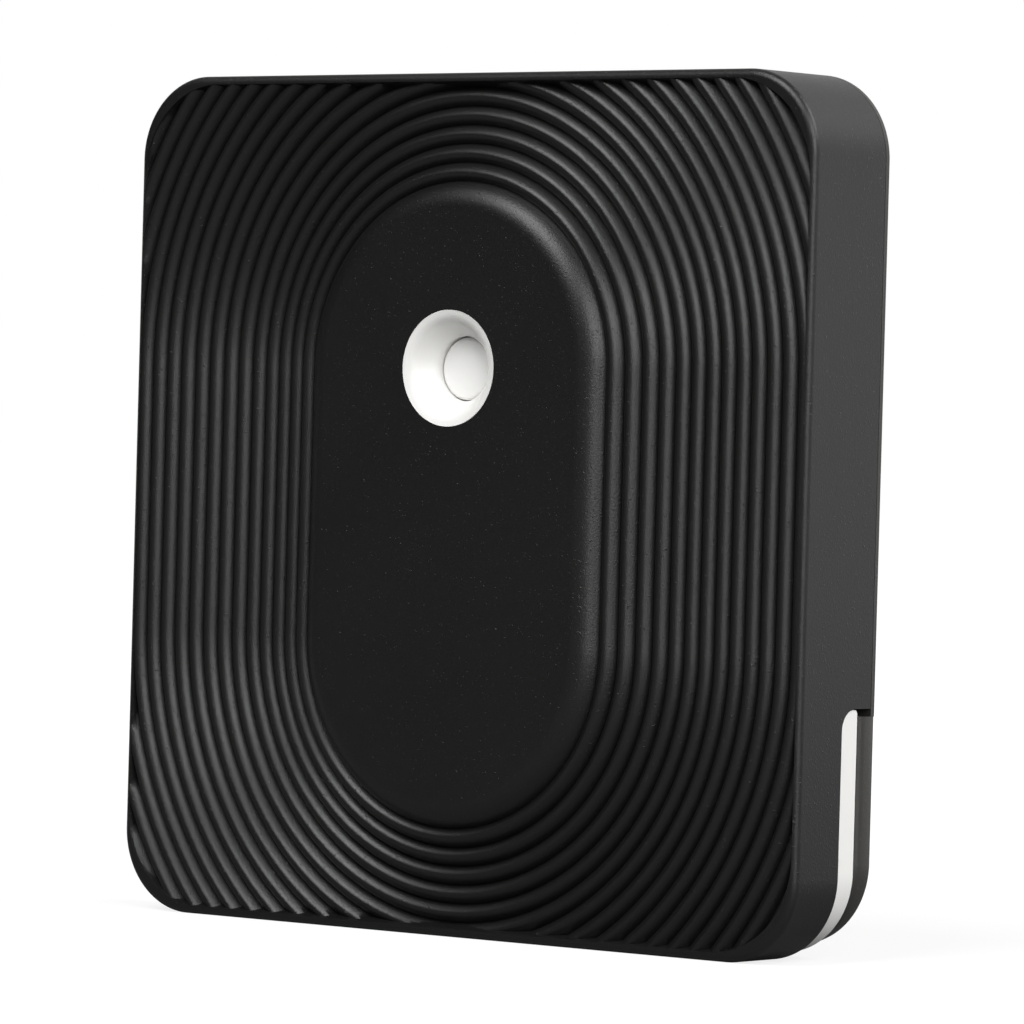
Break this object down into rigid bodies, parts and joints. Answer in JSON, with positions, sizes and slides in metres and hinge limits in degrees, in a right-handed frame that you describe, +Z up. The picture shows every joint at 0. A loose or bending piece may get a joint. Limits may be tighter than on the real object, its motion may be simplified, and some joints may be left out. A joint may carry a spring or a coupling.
{
  "type": "temperature humidity sensor",
  "caption": "Thin square room sensor: black shell with concentric ripples round a raised stadium, white push button in a round well, white band in a low side notch, clipped black back.",
  "frame": {"origin": "Middle of the bounding box in X and Y, at the lowest face in Z: the edge that the sensor stands on.", "axes": "+X is to the sensor's own left, seen from the picture's side as the near side on the right; -Y is the front with the ripples and the button; +Y is the wall side; +Z is up."},
  "size_m": [0.045, 0.0074, 0.045],
  "materials": {
    "black_shell": "fine matte grain",
    "black_cover": "fine matte grain",
    "white_frame": "smooth satin",
    "white_button": "smooth satin",
    "board": "solder mask over glass fibre",
    "chip_black": "moulded epoxy",
    "ceramic": "fired ceramic with tinned ends",
    "brown_ceramic": "fired ceramic with tinned ends",
    "steel": "nickel plated",
    "cell_steel": "nickel plated, brushed",
    "cell_seal": "moulded nylon",
    "electrodes": "pressed powder and lithium",
    "led": "clear resin",
    "switch_base": "moulded nylon"
  },
  "bodies": {
    "housing": {"front_shell": "black_shell", "inner_frame": "white_frame", "circuit_board": "board", "board_screws": "steel", "radio_chip": "chip_black", "chip_antenna": "ceramic", "crystal": "steel", "buffer_capacitor": "brown_ceramic", "status_led": "led", "humidity_sensor": "chip_black", "board_components": "chip_black", "switch_base": "switch_base", "switch_cover": "steel", "switch_dome": "steel", "contact_negative": "steel", "contact_positive": "steel"},
    "button": {"button_cap": "white_button", "switch_plunger": "white_button"},
    "cover": {"rear_cover": "black_cover"},
    "cell": {"cell_can": "cell_steel", "cell_cap": "cell_steel", "cell_seal": "cell_seal", "cell_electrodes": "electrodes"}
  },
  "joints": [
    {"name": "button_press", "type": "slide", "parent": "housing", "child": "button", "axis": [0, 1, 0], "range_m": [0, 0.0002], "stiffness_N_per_m": 5000, "deforming": ["switch_dome"]},
    {"name": "cover_release", "type": "slide", "parent": "housing", "child": "cover", "axis": [0, 1, 0], "range_m": [0, 0.016]},
    {"name": "cell_release", "type": "slide", "parent": "housing", "child": "cell", "axis": [0, 1, 0], "range_m": [0, 0.008]}
  ],
  "couplings": [
    {"joint": "cell_release", "follows": "cover_release", "ratio": 0.5}
  ]
}
